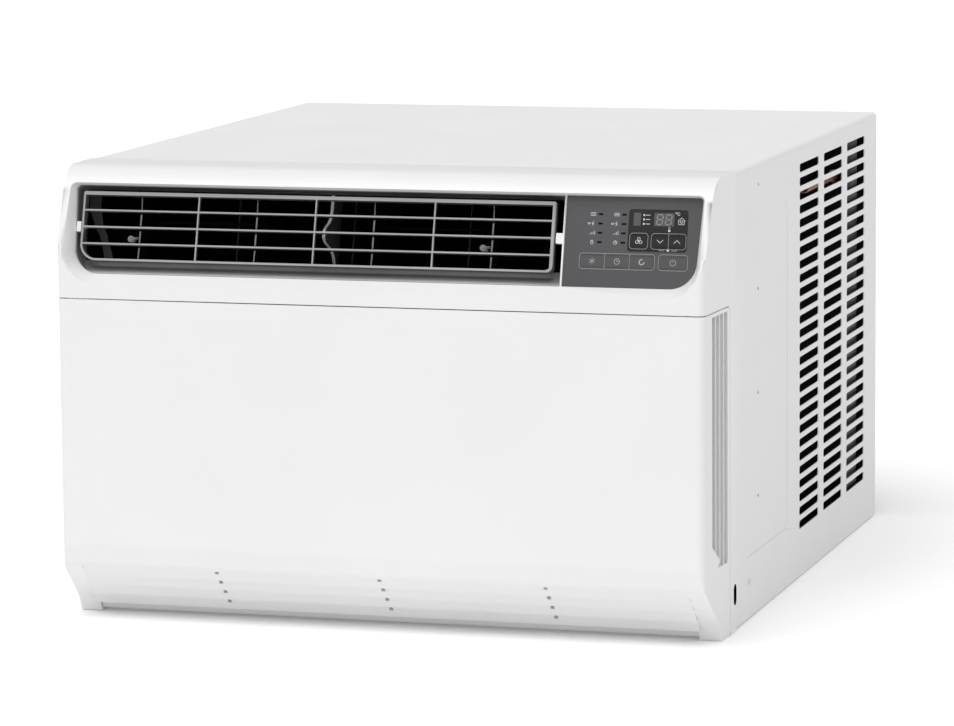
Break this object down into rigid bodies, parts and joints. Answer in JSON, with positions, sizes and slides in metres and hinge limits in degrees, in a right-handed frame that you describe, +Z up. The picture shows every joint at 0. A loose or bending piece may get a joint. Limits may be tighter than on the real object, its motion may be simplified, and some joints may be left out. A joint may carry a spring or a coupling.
{
  "type": "window air conditioner",
  "caption": "White window air conditioner with a louvred steel cabinet, a slide-out chassis, a tilting outlet grid, turning vanes and a hinged intake panel.",
  "frame": {"origin": "centre of the footprint, on the surface the cabinet stands on", "axes": "+X to the right seen from the room, +Y outdoors along the cabinet's depth, +Z up"},
  "size_m": [0.6616, 0.776, 0.448],
  "materials": {
    "cabinet_paint": "satin",
    "front_plastic": "satin",
    "grid_plastic": "satin",
    "duct_plastic": "matt",
    "white_clip": "satin",
    "panel_plastic": "satin",
    "display_gloss": "gloss",
    "lamp_lens": "gloss",
    "key_plastic": "satin",
    "board_green": "satin",
    "switch_black": "matt",
    "zinc_steel": "satin",
    "galvanised": "satin",
    "fin_aluminium": "satin",
    "copper": "satin",
    "black_paint": "satin",
    "foam_white": "matt",
    "fan_plastic": "satin",
    "mesh_nylon": "matt",
    "grommet_rubber": "matt",
    "capacitor_can": "satin"
  },
  "bodies": {
    "cabinet": {"cabinet": "cabinet_paint", "slide_rails": "zinc_steel", "lock_screws": "zinc_steel"},
    "chassis": {"front_frame": "front_plastic", "frame_screws": "zinc_steel", "hinge_pins": "zinc_steel", "filter_frame": "front_plastic", "filter_mesh": "mesh_nylon", "outlet_duct": "duct_plastic", "grid_bearings": "white_clip", "centre_post": "duct_plastic", "control_panel": "panel_plastic", "display_window": "display_gloss", "lamp_lenses": "lamp_lens", "panel_board": "board_green", "key_switches": "switch_black", "display_module": "switch_black", "base_pan": "black_paint", "partition": "galvanised", "fan_shroud": "duct_plastic", "evaporator_fins": "fin_aluminium", "evaporator_ends": "galvanised", "evaporator_bends": "copper", "condenser_fins": "fin_aluminium", "condenser_ends": "galvanised", "condenser_bends": "copper", "drip_tray": "foam_white", "scroll_housing": "foam_white", "fan_motor": "black_paint", "motor_bracket": "galvanised", "compressor": "black_paint", "compressor_feet": "grommet_rubber", "terminal_cover": "switch_black", "accumulator": "black_paint", "suction_line": "copper", "suction_leg": "copper", "discharge_line": "copper", "liquid_line": "copper", "control_box": "galvanised", "run_capacitor": "capacitor_can", "power_board": "board_green"},
    "intake_panel": {"intake_panel": "front_plastic"},
    "louvre_grid": {"louvre_grid": "grid_plastic"},
    "vane_1": {"vane_1": "grid_plastic"},
    "vane_2": {"vane_2": "grid_plastic"},
    "vane_3": {"vane_3": "grid_plastic"},
    "vane_4": {"vane_4": "grid_plastic"},
    "link_left": {"link_left": "grid_plastic"},
    "link_right": {"link_right": "grid_plastic"},
    "fan_rotor": {"motor_shaft": "zinc_steel", "blower_wheel": "fan_plastic", "condenser_fan": "fan_plastic"},
    "key_mode": {"key_mode": "key_plastic"},
    "key_timer": {"key_timer": "key_plastic"},
    "key_sleep": {"key_sleep": "key_plastic"},
    "key_power": {"key_power": "key_plastic"},
    "key_fan": {"key_fan": "display_gloss"},
    "key_cooler": {"key_cooler": "display_gloss"},
    "key_warmer": {"key_warmer": "display_gloss"}
  },
  "joints": [
    {"name": "chassis_slide", "type": "slide", "parent": "cabinet", "child": "chassis", "axis": [0, -1, 0], "range_m": [0, 0.6]},
    {"name": "intake_panel_hinge", "type": "hinge", "parent": "chassis", "child": "intake_panel", "pos_m": [0, -0.326, 0.009], "axis": [1, 0, 0], "range_deg": [0, 30]},
    {"name": "louvre_tilt", "type": "hinge", "parent": "chassis", "child": "louvre_grid", "pos_m": [-0.0681, -0.35609, 0.38821], "axis": [1, 0, 0], "range_deg": [-20, 20]},
    {"name": "vane_1_turn", "type": "hinge", "parent": "chassis", "child": "vane_1", "pos_m": [-0.25727, -0.3211, 0.37591], "axis": [0, 0.2672, 0.9636], "range_deg": [-30, 30]},
    {"name": "vane_2_turn", "type": "hinge", "parent": "chassis", "child": "vane_2", "pos_m": [-0.13703, -0.3211, 0.37591], "axis": [0, 0.2672, 0.9636], "range_deg": [-30, 30]},
    {"name": "vane_3_turn", "type": "hinge", "parent": "chassis", "child": "vane_3", "pos_m": [-0.01678, -0.3211, 0.37591], "axis": [0, 0.2672, 0.9636], "range_deg": [-30, 30]},
    {"name": "vane_4_turn", "type": "hinge", "parent": "chassis", "child": "vane_4", "pos_m": [0.10347, -0.3211, 0.37591], "axis": [0, 0.2672, 0.9636], "range_deg": [-30, 30]},
    {"name": "link_left_pivot", "type": "hinge", "parent": "vane_1", "child": "link_left", "pos_m": [-0.25727, -0.30623, 0.38839], "axis": [0, 0.2672, 0.9636], "range_deg": [-30, 30]},
    {"name": "link_right_pivot", "type": "hinge", "parent": "vane_4", "child": "link_right", "pos_m": [0.10347, -0.30623, 0.38839], "axis": [0, 0.2672, 0.9636], "range_deg": [-30, 30]},
    {"name": "fan_rotor_spin", "type": "hinge", "parent": "chassis", "child": "fan_rotor", "pos_m": [-0.068, 0, 0.204], "axis": [0, 1, 0], "continuous": true},
    {"name": "key_mode_press", "type": "slide", "parent": "chassis", "child": "key_mode", "axis": [0, 0.9636, -0.2672], "range_m": [0, 0.0006], "stiffness_N_per_m": 900},
    {"name": "key_timer_press", "type": "slide", "parent": "chassis", "child": "key_timer", "axis": [0, 0.9636, -0.2672], "range_m": [0, 0.0006], "stiffness_N_per_m": 900},
    {"name": "key_sleep_press", "type": "slide", "parent": "chassis", "child": "key_sleep", "axis": [0, 0.9636, -0.2672], "range_m": [0, 0.0006], "stiffness_N_per_m": 900},
    {"name": "key_power_press", "type": "slide", "parent": "chassis", "child": "key_power", "axis": [0, 0.9636, -0.2672], "range_m": [0, 0.0006], "stiffness_N_per_m": 900},
    {"name": "key_fan_press", "type": "slide", "parent": "chassis", "child": "key_fan", "axis": [0, 0.9636, -0.2672], "range_m": [0, 0.0006], "stiffness_N_per_m": 900},
    {"name": "key_cooler_press", "type": "slide", "parent": "chassis", "child": "key_cooler", "axis": [0, 0.9636, -0.2672], "range_m": [0, 0.0006], "stiffness_N_per_m": 900},
    {"name": "key_warmer_press", "type": "slide", "parent": "chassis", "child": "key_warmer", "axis": [0, 0.9636, -0.2672], "range_m": [0, 0.0006], "stiffness_N_per_m": 900}
  ],
  "couplings": [
    {"joint": "vane_2_turn", "follows": "vane_1_turn", "ratio": 1},
    {"joint": "vane_3_turn", "follows": "vane_4_turn", "ratio": 1},
    {"joint": "link_left_pivot", "follows": "vane_1_turn", "ratio": -1},
    {"joint": "link_right_pivot", "follows": "vane_4_turn", "ratio": -1}
  ]
}
